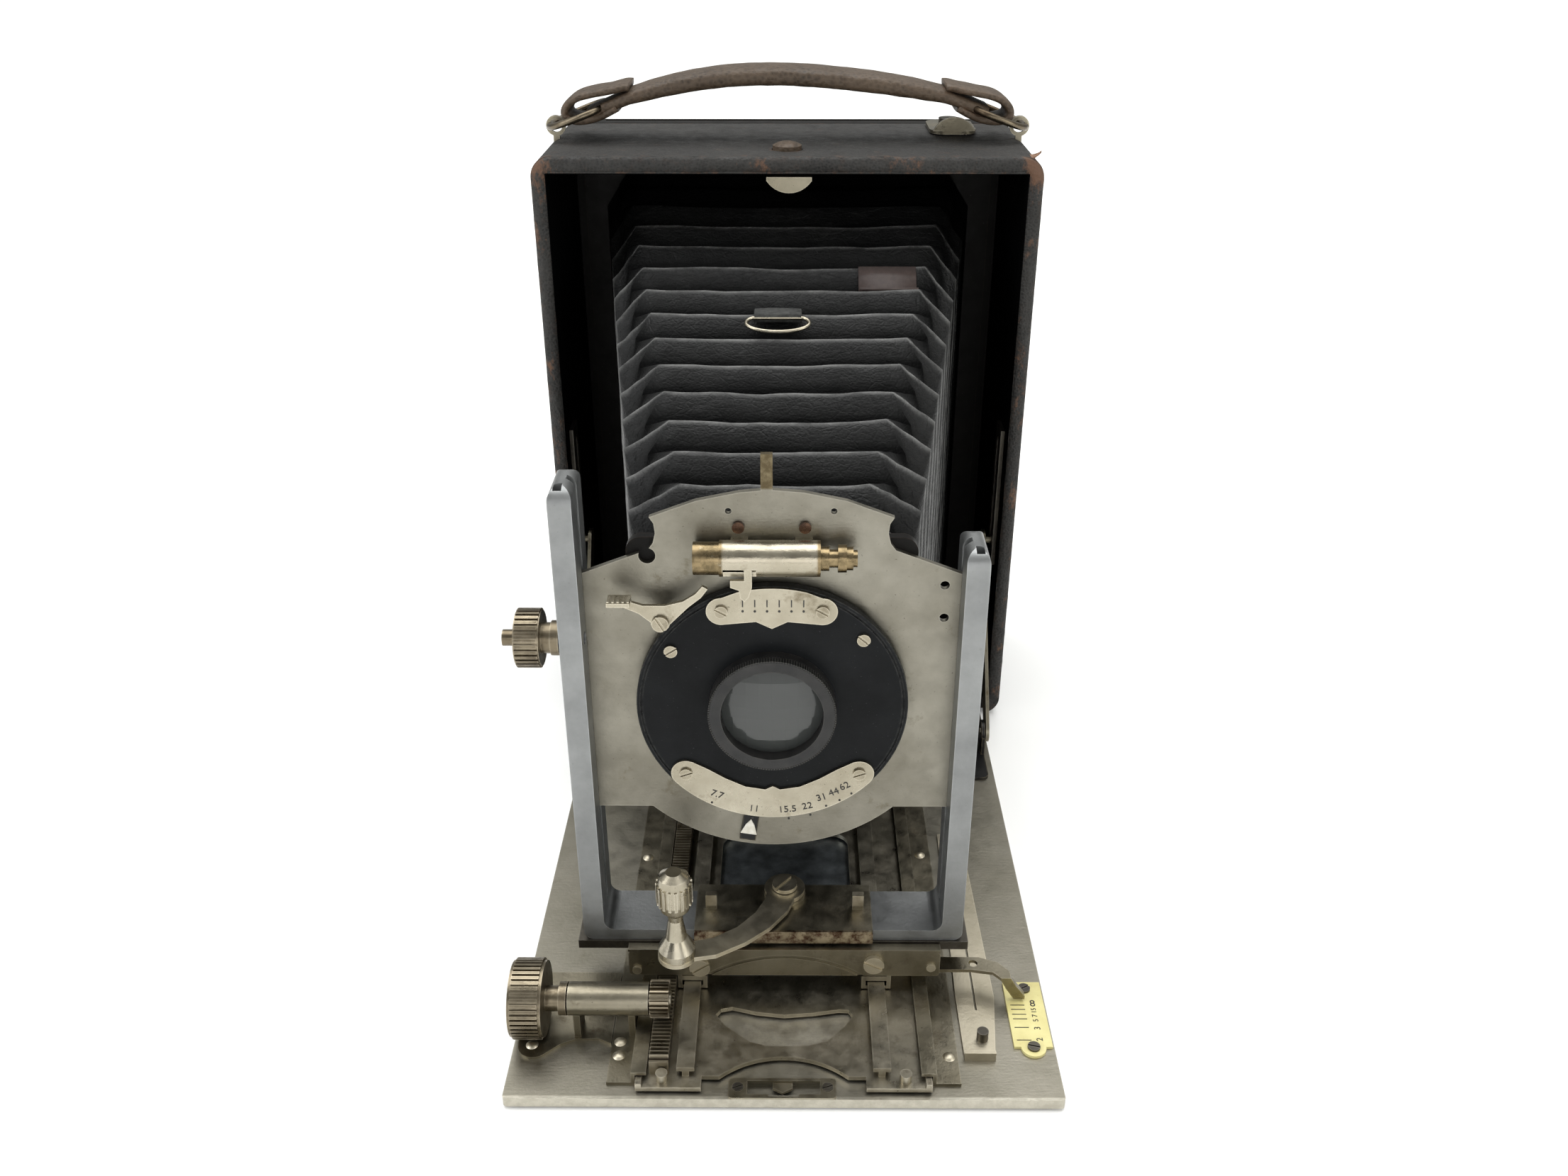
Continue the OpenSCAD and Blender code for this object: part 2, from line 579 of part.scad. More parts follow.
module aperture_plate() color(c_nickel) place() translate([shift_x, 0, lens_z])
  ext_y(-111.3, -110.7) {
    intersection() {
      circle(26.4);
      polygon([[-16.2, -12.8], [-12.9, -14.6], [-9.5, -16.8], [-5.5, -18.8], [-1.5, -19.5],
        [0, -18.7], [1.5, -19.5], [5.5, -18.8], [9.5, -16.8], [12.9, -14.6], [16.2, -12.8],
        [17.4, -15.6], [24, -21.5], [24, -30], [-24, -30], [-24, -21.5], [-17.4, -15.6]]);
    }
    for (x = [-17.4, 17.4]) translate([x, -15.6]) circle(3);
  }
module lens_barrel() color(c_black) place() difference() {
  union() {
    cyl_y(-114.5, -110.7, lens_r, shift_x, lens_z);
    cyl_y(-110.7, -106.8, 10.2, shift_x, lens_z);
    cyl_y(-106.8, -98, 11, shift_x, lens_z);
  }
  cyl_y(-115, -110.9, 10, shift_x, lens_z);
  cyl_y(-113, -97, 8.4, shift_x, lens_z);
}
module lens_glass() color(c_glass) place() {
  intersection() {
    translate([shift_x, -83.6, lens_z]) sphere(30, $fn = 72);
    cyl_y(-116, -110.9, 10, shift_x, lens_z);
  }
  cyl_y(-101, -99, 8.4, shift_x, lens_z);
}
module bellows_front_frame() color(c_black) place() ext_y(-106.8, -104.9) difference() {
  translate([shift_x, 0]) rrect(-27.5, 27.5, 49.5, 108.5, 3);
  translate([shift_x, 0]) rrect(-21.5, 21.5, 55, 103, 3);
}
module piston_tab() color(c_nickel) place() {
  translate([shift_x, 0, 0]) ext_y(-114.4, -113.6)
    polygon([[-7.6, 103.2], [-5, 103.2], [-5, 105.4], [-3.6, 105.4], [-3.6, 101.8], [-4.2, 99.8],
      [-5, 98.8], [-5.8, 99.6], [-6, 101.2], [-7.6, 101.8]]);
  cyl_x(shift_x - 5.2, shift_x + 2, 2.5, -112, 106.7);
}
module release_lever() color(c_black) place() translate([shift_x, 0, 0]) difference() {
  union() {
    ext_y(-112.4, -111.6) {
      polygon([[-30.6, 98.8], [-26.3, 98.8], [-26.3, 97.6], [-24.2, 96.9], [-20, 96.9],
        [-16.6, 97.8], [-14.2, 99.4], [-12.9, 101], [-11.9, 100.4], [-13.2, 98.6],
        [-15.6, 96.6], [-19.2, 92.9], [-20.6, 91.4], [-25, 95.2], [-30.6, 97.8]]);
      translate([-21, 93.2]) circle(1.8);
    }
    box(-30.6, -26.3, -115.2, -112.4, 98, 98.8);
    for (i = [0 : 4]) box(-30.5 + i * 0.94, -30.1 + i * 0.94, -115, -112.6, 98.8, 99.1);
  }
  cyl_y(-113, -111, 1.07, -21, 93.2);
}
module aperture_pointer() color(c_black) place() translate([shift_x, 0, lens_z])
  rotate([0, 8.9, 0]) ext_y(-108.8, -108.2) difference() {
    union() {
      circle(24.6);
      polygon([[-1.5, -23], [1.5, -23], [1.7, -34.6], [-1.7, -34.6]]);
    }
    circle(22.2);
  }
body_shell();
leather_cover();
body_rails();
slot_plates();
hinge_pin();
back_frame();
ground_glass();
eyelets();
back_catch_screw();
tripod_bush();
bellows_rear_frame();
bellows();
bellows_ring();
release_button();
catch_hook();
catch_lever();
handle_strap();
handle_rings();
bed_plate();
bed_leather();
guide_rails();
bed_rivets();
latch_plate();
bed_screws();
knob_bracket();
pinion_sleeve();
distance_scale();
leaf_spring();
strut_brackets();
strut_left();
strut_right();
focus_knob();
pinion_shaft();
pinion_gear();
track_plate();
rack();
end_stops();
carriage_base();
front_bar();
bar_screws();
base_strip();
saddle_plate();
pointer_arm();
clamp_screw();
clamp_arm();
clamp_knob();
u_frame();
rise_knob();
lens_plate();
air_cylinder();
shutter_disc();
disc_screws();
speed_plate();
aperture_plate();
lens_barrel();
lens_glass();
bellows_front_frame();
piston_tab();
release_lever();
aperture_pointer();
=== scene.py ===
import math
import bmesh
import bpy
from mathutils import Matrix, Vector, noise


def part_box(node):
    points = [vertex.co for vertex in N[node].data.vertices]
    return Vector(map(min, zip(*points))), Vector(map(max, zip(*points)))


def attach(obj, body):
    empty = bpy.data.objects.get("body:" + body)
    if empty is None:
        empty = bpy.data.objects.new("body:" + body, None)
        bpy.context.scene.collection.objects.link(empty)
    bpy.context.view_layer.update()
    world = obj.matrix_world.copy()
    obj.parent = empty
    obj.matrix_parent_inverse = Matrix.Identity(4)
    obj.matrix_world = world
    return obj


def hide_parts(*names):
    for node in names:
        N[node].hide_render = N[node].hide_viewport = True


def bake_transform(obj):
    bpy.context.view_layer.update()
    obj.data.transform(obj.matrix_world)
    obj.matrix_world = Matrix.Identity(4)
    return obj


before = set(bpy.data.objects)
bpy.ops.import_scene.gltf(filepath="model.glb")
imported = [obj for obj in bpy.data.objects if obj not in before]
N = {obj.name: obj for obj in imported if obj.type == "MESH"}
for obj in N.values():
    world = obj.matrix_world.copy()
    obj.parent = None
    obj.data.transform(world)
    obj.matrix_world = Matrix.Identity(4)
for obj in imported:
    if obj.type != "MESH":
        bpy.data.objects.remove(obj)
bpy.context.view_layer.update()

# Millimetres with Y from the front face of the body, as part.scad has them.
Y_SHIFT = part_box("body_shell")[0].y * 1000


def P(x, y, z):
    return Vector((x / 1000, (y + Y_SHIFT) / 1000, z / 1000))


# ---------------------------------------------------------------- camera and light
LENS_X = -2.4
cam_data = bpy.data.cameras.new("camera")
cam_data.lens = 31.25
cam_data.sensor_width = 36
cam = bpy.data.objects.new("camera", cam_data)
bpy.context.scene.collection.objects.link(cam)
cam.location = P(1.15, -336.0, 218.4)
cam.rotation_euler = (math.radians(90 - 27.75), 0, math.radians(0.32))
cam_data.clip_start = 0.01
bpy.context.scene.camera = cam
bpy.context.scene.view_settings.view_transform = "Standard"


def area(name, loc, target, size, power, colour=(1, 1, 1)):
    data = bpy.data.lights.new(name, "AREA")
    data.shape = "RECTANGLE"
    data.size, data.size_y = size
    data.energy = power
    data.color = colour
    ob = bpy.data.objects.new(name, data)
    bpy.context.scene.collection.objects.link(ob)
    ob.location = loc
    ob.rotation_euler = (Vector(target) - Vector(loc)).to_track_quat("-Z", "Y").to_euler()


area("top_light", (0.0, 0.15, 0.95), (0, -0.02, 0.05), (1.1, 0.8), 9.0)
area("left_light", (-0.85, -0.35, 0.55), (0, -0.05, 0.06), (0.6, 0.8), 5.0, (0.97, 0.98, 1.0))
area("right_light", (0.8, -0.5, 0.45), (0, -0.05, 0.06), (0.5, 0.7), 3.2, (1.0, 0.99, 0.96))
area("front_light", (0.1, -1.1, 0.35), (0, 0, 0.06), (0.9, 0.5), 3.0)
world = bpy.data.worlds.new("studio")
world.use_nodes = True
sky = world.node_tree.nodes["Background"]
sky.inputs[0].default_value = (0.97, 0.98, 0.96, 1)
seen = world.node_tree.nodes.new("ShaderNodeLightPath")
way = world.node_tree.nodes.new("ShaderNodeTexCoord")
split = world.node_tree.nodes.new("ShaderNodeSeparateXYZ")
world.node_tree.links.new(way.outputs["Generated"], split.inputs[0])


def sky_math(kind, values):
    n = world.node_tree.nodes.new(kind)
    for i, v in enumerate(values):
        if hasattr(v, "links"):
            world.node_tree.links.new(v, n.inputs[i])
        elif v is not None:
            n.inputs[i].default_value = v
    return n


up = sky_math("ShaderNodeMapRange", [split.outputs[2], 0.0, 0.75, 0.20, 0.85]).outputs[0]
back = sky_math("ShaderNodeMapRange", [split.outputs[1], -0.8, 0.2, 0.40, 1.0]).outputs[0]
glow = sky_math("ShaderNodeMath", [up, back])
glow.operation = "MULTIPLY"
level = sky_math("ShaderNodeMapRange", [seen.outputs["Is Camera Ray"], 0.0, 1.0, glow.outputs[0],
                                        1.05]).outputs[0]
world.node_tree.links.new(level, sky.inputs[1])
bpy.context.scene.world = world


# ---------------------------------------------------------------- materials
class Shader:
    """A procedural material on object coordinates, in metres."""

    def __init__(self, name):
        self.m = bpy.data.materials.new(name)
        self.m.use_nodes = True
        self.t = self.m.node_tree
        self.b = self.t.nodes["Principled BSDF"]
        self.co = self.t.nodes.new("ShaderNodeTexCoord").outputs["Object"]

    def put(self, socket, value):
        if hasattr(value, "links"):
            self.t.links.new(value, socket)
        elif isinstance(value, tuple) and len(value) == 3 and socket.type == "RGBA":
            socket.default_value = (*value, 1)
        else:
            socket.default_value = value

    def math(self, op, a, b=0.0, clamp=False):
        n = self.t.nodes.new("ShaderNodeMath")
        n.operation = op
        n.use_clamp = clamp
        self.put(n.inputs[0], a)
        self.put(n.inputs[1], b)
        return n.outputs[0]

    def scaled(self, stretch, offset=0.0):
        n = self.t.nodes.new("ShaderNodeMapping")
        self.put(n.inputs["Vector"], self.co)
        n.inputs["Scale"].default_value = stretch
        n.inputs["Location"].default_value = (offset, offset * 0.7, offset * 1.3)
        return n.outputs[0]

    def noise(self, scale, detail=4, rough=0.6, stretch=(1, 1, 1), offset=0.0):
        n = self.t.nodes.new("ShaderNodeTexNoise")
        self.put(n.inputs["Vector"], self.scaled(stretch, offset))
        n.inputs["Scale"].default_value = scale
        n.inputs["Detail"].default_value = detail
        n.inputs["Roughness"].default_value = rough
        return n.outputs["Fac"]

    def cells(self, scale, feature="F1", stretch=(1, 1, 1)):
        n = self.t.nodes.new("ShaderNodeTexVoronoi")
        n.feature = feature
        self.put(n.inputs["Vector"], self.scaled(stretch))
        n.inputs["Scale"].default_value = scale
        return n.outputs["Distance"]

    def span(self, v, lo, hi, a=0.0, b=1.0):
        n = self.t.nodes.new("ShaderNodeMapRange")
        n.clamp = True
        self.put(n.inputs[0], v)
        for i, x in enumerate((lo, hi, a, b)):
            n.inputs[1 + i].default_value = x
        return n.outputs[0]

    def mix(self, fac, a, b):
        n = self.t.nodes.new("ShaderNodeMix")
        n.data_type = "RGBA"
        self.put(n.inputs[0], fac)
        self.put(n.inputs[6], a)
        self.put(n.inputs[7], b)
        return n.outputs[2]

    def axis(self, i):
        n = self.t.nodes.new("ShaderNodeSeparateXYZ")
        self.put(n.inputs[0], self.co)
        return n.outputs[i]

    def attribute(self, name):
        n = self.t.nodes.new("ShaderNodeAttribute")
        n.attribute_name = name
        return n.outputs["Fac"]

    def where(self, i, lo, hi, soft=0.0002):
        """1 where coordinate i lies between lo and hi, in metres."""
        a = self.axis(i)
        return self.math("MULTIPLY", self.span(a, lo - soft, lo + soft),
                         self.span(a, hi + soft, hi - soft))

    def edge(self, radius, lo=0.02, hi=0.35):
        """1 on edges sharper than the radius, 0 on flat faces."""
        bev = self.t.nodes.new("ShaderNodeBevel")
        bev.samples = 4
        bev.inputs["Radius"].default_value = radius
        geo = self.t.nodes.new("ShaderNodeNewGeometry")
        dot = self.t.nodes.new("ShaderNodeVectorMath")
        dot.operation = "DOT_PRODUCT"
        self.put(dot.inputs[0], bev.outputs[0])
        self.put(dot.inputs[1], geo.outputs["Normal"])
        return self.span(self.math("SUBTRACT", 1.0, dot.outputs["Value"]), lo, hi)

    def bump(self, height, strength, distance):
        n = self.t.nodes.new("ShaderNodeBump")
        n.inputs["Strength"].default_value = strength
        n.inputs["Distance"].default_value = distance
        self.put(n.inputs["Height"], height)
        if self.b.inputs["Normal"].links:
            self.put(n.inputs["Normal"], self.b.inputs["Normal"].links[0].from_socket)
        self.put(self.b.inputs["Normal"], n.outputs[0])

    def base(self, colour, rough, metal=0.0):
        self.put(self.b.inputs["Base Color"], colour)
        self.put(self.b.inputs["Roughness"], rough)
        self.b.inputs["Metallic"].default_value = metal


def metal(name, light, dark, stain, rough=(0.28, 0.5), stain_at=0.6, pits=0.5, brush=None,
          edge=0.5, metallic=1.0, zones=()):
    """Worn metal: drifting tone, tarnish in patches, pits, fine scratches and rubbed edges."""
    s = Shader(name)
    broad = s.span(s.noise(55, 5, 0.65), 0.34, 0.68)
    col = s.mix(broad, light, dark)
    patch = s.span(s.noise(120, 6, 0.7, offset=3.1), stain_at, stain_at + 0.14)
    col = s.mix(s.math("MULTIPLY", patch, 0.75), col, stain)
    specks = s.span(s.noise(1900, 2, 0.5, offset=1.7), 0.70, 0.80)
    col = s.mix(s.math("MULTIPLY", specks, pits), col, tuple(c * 0.35 for c in stain))
    scratch = s.noise(900, 2, 0.5, brush or (0.25, 3.0, 0.6), 5.0)
    if edge:
        rub = s.math("MULTIPLY", s.edge(0.0005), edge)
        col = s.mix(rub, col, tuple(min(1.0, c * 1.35 + 0.05) for c in light))
    for mask, a, b in zones:                      # parts of the piece with another colour: another finish on some, painted light or shade on others
        m = s.math("MULTIPLY", mask(s), s.span(s.noise(500, 4, 0.7, offset=12), 0.2, 0.35))
        col = s.mix(m, col, s.mix(s.span(s.noise(420, 5, 0.7, offset=6), 0.4, 0.6), a, b))
    r = s.math("ADD", s.span(s.noise(260, 4, 0.6, offset=9), 0.3, 0.7, rough[0], rough[1]),
               s.math("MULTIPLY", patch, 0.16))
    s.base(col, r, metallic)
    s.bump(scratch, 0.10, 0.0002)
    s.bump(s.noise(1300, 3, 0.6), 0.10, 0.0003)
    return s.m


def leather(name, dark, mid, brown, grain=1500, depth=0.45, wear_edge=0.8, rough=(0.5, 0.78),
            creases=0.5, inside_black_and_shade=False, front_wear=False):
    """Old grained leather: cells and creases, greyed high spots and brown worn edges."""
    s = Shader(name)
    cell = s.cells(grain)
    crease = s.cells(420, "DISTANCE_TO_EDGE", (1.0, 1.0, 1.9))
    broad = s.span(s.noise(45, 5, 0.7), 0.35, 0.7)
    col = s.mix(broad, dark, mid)
    high = s.span(cell, 0.1, 0.6)
    col = s.mix(s.math("MULTIPLY", high, 0.35), col, tuple(c * 1.7 + 0.01 for c in mid))
    scuff = s.span(s.noise(210, 7, 0.75, offset=2.0), 0.57, 0.72)
    if wear_edge:
        rim = s.edge(0.0022, 0.01, 0.28)
        worn = s.math("MULTIPLY", rim, s.span(s.noise(330, 5, 0.7, offset=8), 0.5, 0.66), True)
        col = s.mix(s.math("MULTIPLY", worn, wear_edge), col, brown)
    if front_wear:
        near = s.span(s.axis(1), (Y_SHIFT + 4) / 1000, (Y_SHIFT - 0.5) / 1000)
        corner = s.math("MULTIPLY", s.span(s.math("ABSOLUTE", s.axis(0)), 0.0545, 0.0600),
                        s.span(s.axis(2), 0.1490, 0.1560))
        spread = s.math("ADD", s.noise(170, 7, 0.8, (1, 1, 0.5), 4),
                        s.math("MULTIPLY", corner, 0.22))
        worn = s.math("MULTIPLY", near, s.span(spread, 0.57, 0.66))
        col = s.mix(s.math("MULTIPLY", worn, 0.8), col, brown)
    col = s.mix(s.math("MULTIPLY", scuff, 0.16), col, brown)
    if inside_black_and_shade:
        # Inside the body the black inner paint is deepened with painted shade: the colour goes near
        # black and the reflection is turned down.
        wide = s.math("LESS_THAN", s.math("ABSOLUTE", s.axis(0)), 0.0584)
        low = s.math("LESS_THAN", s.axis(2), 0.1542)
        high_z = s.math("GREATER_THAN", s.axis(2), 0.0039)
        inner = s.math("MULTIPLY", s.math("MULTIPLY", wide, low), high_z)
        col = s.mix(inner, col, (0.0015, 0.0015, 0.0016))
        s.put(s.b.inputs["Specular IOR Level"], s.span(inner, 0.0, 1.0, 0.3, 0.02))
    else:
        s.b.inputs["Specular IOR Level"].default_value = 0.3
    s.base(col, s.span(s.noise(300, 4, 0.6, offset=6), 0.3, 0.7, *rough))
    s.bump(cell, depth, 0.0003)
    s.bump(s.span(crease, 0.0, 0.08), creases * 0.4, 0.0003)
    s.bump(s.noise(90, 4, 0.6), 0.25, 0.0008)
    return s.m


def bellows_skin():
    """Black folded leather: painted shade in the valleys and on the rear pleats, greyed crests, and
    on each crest a bright line of rubbed wear and painted highlight.
    """
    s = Shader("bellows_leather")
    fold = s.attribute("fold")
    # The bright line on each crest is partly rubbed wear, partly painted highlight.
    crest = s.span(fold, 0.82, 1.0)
    line = s.math("POWER", crest, 2.4)
    col = s.mix(s.span(s.noise(60, 5, 0.7), 0.35, 0.7), (0.003, 0.0031, 0.0031),
                (0.0065, 0.0067, 0.0065))
    col = s.mix(s.math("MULTIPLY", s.span(s.noise(420, 6, 0.75, (0.35, 1, 1)), 0.55, 0.75), 0.5),
                col, (0.020, 0.020, 0.0195))
    # Painted shade: the colour goes near black where the fold value is low, in each valley and over
    # the rear pleats.
    col = s.mix(s.span(fold, 0.35, 0.0, 0.0, 0.85), col, (0.0015, 0.0015, 0.0016))
    broken = s.span(s.noise(240, 5, 0.7, (0.6, 1, 1), 3.0), 0.33, 0.6, 0.25, 1.0)
    col = s.mix(s.math("MULTIPLY", s.math("MULTIPLY", line, broken), 0.95), col,
                (0.17, 0.17, 0.165))
    s.base(col, s.span(s.noise(300, 4, 0.6, offset=6), 0.3, 0.7, 0.42, 0.6))
    # Painted shade on the reflection as well: it is turned down in the valleys and on the rear
    # pleats.
    s.put(s.b.inputs["Specular IOR Level"], s.span(fold, 0.2, 1.0, 0.02, 0.30))
    s.bump(s.cells(1700), 0.35, 0.0003)
    s.bump(s.noise(330, 6, 0.7, (0.3, 1, 1), 2.0), 0.5, 0.0006)
    s.bump(s.span(s.cells(520, "DISTANCE_TO_EDGE", (0.5, 1.2, 1.2)), 0.0, 0.07), 0.3, 0.0003)
    return s.m


def barrel_black():
    """Black lens mount with a fine milled grip on its outer wall."""
    s = Shader("barrel_lacquer")
    dx, dz = s.math("ADD", s.axis(0), 0.0024), s.math("SUBTRACT", s.axis(2), 0.0736)
    turn = s.math("ARCTAN2", dz, dx)
    radius = s.math("SQRT", s.math("ADD", s.math("MULTIPLY", dx, dx), s.math("MULTIPLY", dz, dz)))
    mill = s.math("MULTIPLY", s.math("SINE", s.math("MULTIPLY", turn, 150.0)),
                  s.math("MULTIPLY", s.span(radius, 0.01215, 0.01235),
                         s.span(s.axis(1), (Y_SHIFT - 112.7) / 1000, (Y_SHIFT - 113.0) / 1000)))
    col = s.mix(s.span(s.noise(300, 5, 0.6), 0.35, 0.7), (0.008, 0.008, 0.008),
                (0.020, 0.019, 0.018))
    rub = s.math("MULTIPLY", s.edge(0.0004), s.span(s.noise(500, 4, 0.7), 0.4, 0.6))
    col = s.mix(s.math("MULTIPLY", rub, 0.4), col, (0.13, 0.12, 0.10))
    col = s.mix(s.span(mill, 0.3, 0.9, 0.0, 0.5), col, (0.10, 0.10, 0.09))
    s.base(col, s.span(s.noise(240, 4, 0.6, offset=6), 0.3, 0.7, 0.28, 0.42))
    s.b.inputs["Specular IOR Level"].default_value = 0.35
    s.bump(mill, 0.8, 0.0003)
    s.bump(s.noise(900, 3, 0.6), 0.1, 0.0002)
    return s.m


def paint(name, dark, worn, rough=(0.3, 0.45), rub=0.7, shine=0.25, dusty=0.2):
    """Black lacquer rubbed through to metal at its edges."""
    s = Shader(name)
    col = s.mix(s.span(s.noise(80, 5, 0.6), 0.35, 0.7), dark, tuple(c * 1.8 for c in dark))
    worn_at = s.math("MULTIPLY", s.edge(0.0006), s.span(s.noise(700, 4, 0.7), 0.35, 0.6))
    col = s.mix(s.math("MULTIPLY", worn_at, rub), col, worn)
    dust = s.span(s.noise(2600, 2, 0.5, offset=4), 0.7, 0.78)
    col = s.mix(s.math("MULTIPLY", dust, dusty), col, (0.25, 0.25, 0.25))
    s.base(col, s.span(s.noise(240, 4, 0.6, offset=6), 0.3, 0.7, *rough))
    s.b.inputs["Specular IOR Level"].default_value = shine
    s.bump(s.noise(800, 3, 0.6), 0.12, 0.0002)
    return s.m


def off(value):
    """A Y in body millimetres as metres in the frame."""
    return (value + Y_SHIFT) / 1000


def under(s, y0, y1):
    """The strip of the bed that shows through a window of the track."""
    return s.math("MULTIPLY", s.where(0, -0.0158, 0.0158), s.where(1, off(y0), off(y1)))


def between_teeth(s):
    """1 in the gaps of the rack, whose teeth count from the pinion's axis."""
    turn = s.math("MULTIPLY", s.math("SUBTRACT", s.axis(1), off(-126.4)),
                  2 * math.pi / (RACK_PITCH / 1000))
    return s.span(s.math("COSINE", turn), 0.1, -0.5)


RACK_PITCH = 0.9996              # mm, the pinion's pitch
BRASSY = ((0.25, 0.19, 0.105), (0.13, 0.10, 0.055))
M = {
    "alu": metal("bed_aluminium", (0.315, 0.295, 0.245), (0.235, 0.22, 0.175), (0.15, 0.13, 0.09),
                 (0.36, 0.5), 0.63, 0.35, (0.4, 2.4, 1.0), 0.6,
                 # Painted light: the bed seen through the track's front window (y -133 to -118) is
                 # made much lighter, standing in for the light that falls there.
                 zones=[(lambda s: under(s, -133, -118), (0.60, 0.57, 0.48), (0.50, 0.47, 0.40)),
                        (lambda s: under(s, -112, -8), (0.26, 0.285, 0.30), (0.20, 0.22, 0.235)),
                        # Painted highlight: the front edge of the bed (y -146 to -143.7) is made
                        # lighter.
                        (lambda s: s.where(1, off(-146), off(-143.7)), (0.50, 0.475, 0.40),
                         (0.42, 0.395, 0.33))]),
    "cast": metal("cast_frame", (0.275, 0.282, 0.28), (0.195, 0.20, 0.20), (0.13, 0.13, 0.12),
                  (0.38, 0.52), 0.66, 0.25, (1.4, 1.4, 0.5), 0.7),
    "board": metal("board_metal", (0.26, 0.246, 0.205), (0.18, 0.168, 0.135),
                   (0.13, 0.11, 0.07), (0.34, 0.5), 0.6, 0.85, (0.6, 1, 2.4), 0.6,
                   zones=[(lambda s: s.where(2, 0.1188, 0.14), (0.17, 0.14, 0.085),
                           (0.09, 0.07, 0.04))]),
    "nickel": metal("nickel_plate", (0.43, 0.395, 0.315), (0.29, 0.26, 0.195),
                    (0.13, 0.10, 0.055), (0.2, 0.38), 0.58, 0.7, (2.2, 1, 0.4), 0.8),
    "dull": metal("dull_nickel", (0.27, 0.245, 0.185), (0.18, 0.16, 0.115), (0.085, 0.065, 0.04),
                  (0.26, 0.44), 0.56, 0.7, (2.2, 1, 0.4), 0.9),
    "saddle": metal("saddle_steel", (0.34, 0.31, 0.235), (0.22, 0.195, 0.145),
                    (0.07, 0.055, 0.035), (0.28, 0.46), 0.56, 0.7, (2.2, 1, 0.4), 0.8,
                    zones=[(lambda s: s.where(2, 0.0212, 0.03), (0.56, 0.51, 0.40),
                            (0.42, 0.37, 0.28)),
                           (lambda s: s.where(1, off(-116), off(-114.95)), (0.42, 0.35, 0.24),
                            (0.085, 0.045, 0.028))]),
    "pump": metal("pump_nickel", (0.45, 0.41, 0.33), (0.31, 0.28, 0.21), (0.14, 0.11, 0.06),
                  (0.2, 0.36), 0.58, 0.6, (0.4, 1, 2.2), 0.8,
                  zones=[(lambda s: s.where(0, -0.02, -0.0114), *BRASSY),
                         (lambda s: s.where(0, 0.0060, 0.02), *BRASSY)]),
    "bright": metal("bright_nickel", (0.56, 0.51, 0.40), (0.40, 0.36, 0.27), (0.20, 0.16, 0.09),
                    (0.36, 0.5), 0.68, 0.06, (1, 1, 1), 0.5),
    "rack": metal("rack_metal", (0.36, 0.32, 0.245), (0.24, 0.21, 0.155), (0.09, 0.07, 0.045),
                  (0.26, 0.42), 0.6, 0.4, (2.6, 0.4, 1), 0.6,
                  # Painted shade: the gaps between the rack teeth are made near black.
                  zones=[(between_teeth, (0.045, 0.036, 0.026), (0.028, 0.022, 0.017))]),
    "screws": metal("dial_screws", (0.38, 0.345, 0.27), (0.25, 0.22, 0.16), (0.10, 0.08, 0.045),
                    (0.2, 0.38), 0.56, 0.6, (1, 1, 1), 0.8,
                    zones=[(lambda s: s.where(2, 0.1095, 0.1135), (0.11, 0.065, 0.045),
                            (0.05, 0.032, 0.024))]),
    "steel": metal("track_steel", (0.42, 0.385, 0.31), (0.29, 0.265, 0.205), (0.085, 0.07, 0.05),
                   (0.26, 0.45), 0.56, 0.8, (2.6, 0.4, 1), 0.9),
    "brass": metal("knob_brass", (0.24, 0.205, 0.145), (0.13, 0.105, 0.07),
                   (0.055, 0.04, 0.025), (0.24, 0.42), 0.5, 0.8, (1, 1, 1), 1.0),
    "dark": metal("dark_steel", (0.12, 0.11, 0.09), (0.06, 0.055, 0.05), (0.03, 0.025, 0.02),
                  (0.3, 0.5), 0.55, 0.6, (1, 1, 1), 0.8),
    "wire": metal("wire_metal", (0.18, 0.15, 0.105), (0.10, 0.08, 0.055), (0.06, 0.04, 0.025),
                  (0.22, 0.4), 0.52, 0.8, (1, 1, 1), 0.8),
    "leather": leather("body_leather", (0.008, 0.0078, 0.0074), (0.022, 0.021, 0.019),
                       (0.125, 0.064, 0.036), inside_black_and_shade=True, front_wear=True),
    "strap": leather("strap_leather", (0.022, 0.015, 0.009), (0.068, 0.047, 0.030),
                     (0.12, 0.072, 0.045), 900, 0.5, 0.8, (0.42, 0.66)),
    "bellows": bellows_skin(),
    "barrel": barrel_black(),
    "black": paint("black_lacquer", (0.006, 0.006, 0.006), (0.22, 0.18, 0.11)),
    "disc": paint("disc_lacquer", (0.0045, 0.005, 0.0055), (0.16, 0.16, 0.15), (0.34, 0.46), 0.4,
                  0.10, 0.12),
    "wood": paint("black_wood", (0.004, 0.0035, 0.003), (0.05, 0.03, 0.02), (0.45, 0.6), 0.4,
                  0.12, 0.1),
}


def ivory():
    s = Shader("scale_ivory")
    col = s.mix(s.span(s.noise(160, 5, 0.6), 0.35, 0.7), (0.72, 0.66, 0.31), (0.60, 0.53, 0.22))
    col = s.mix(s.math("MULTIPLY", s.span(s.noise(700, 4, 0.7), 0.6, 0.75), 0.5), col,
                (0.42, 0.33, 0.14))
    s.base(col, s.span(s.noise(300), 0.3, 0.7, 0.3, 0.42))
    s.bump(s.noise(900, 3), 0.08, 0.0002)
    return s.m


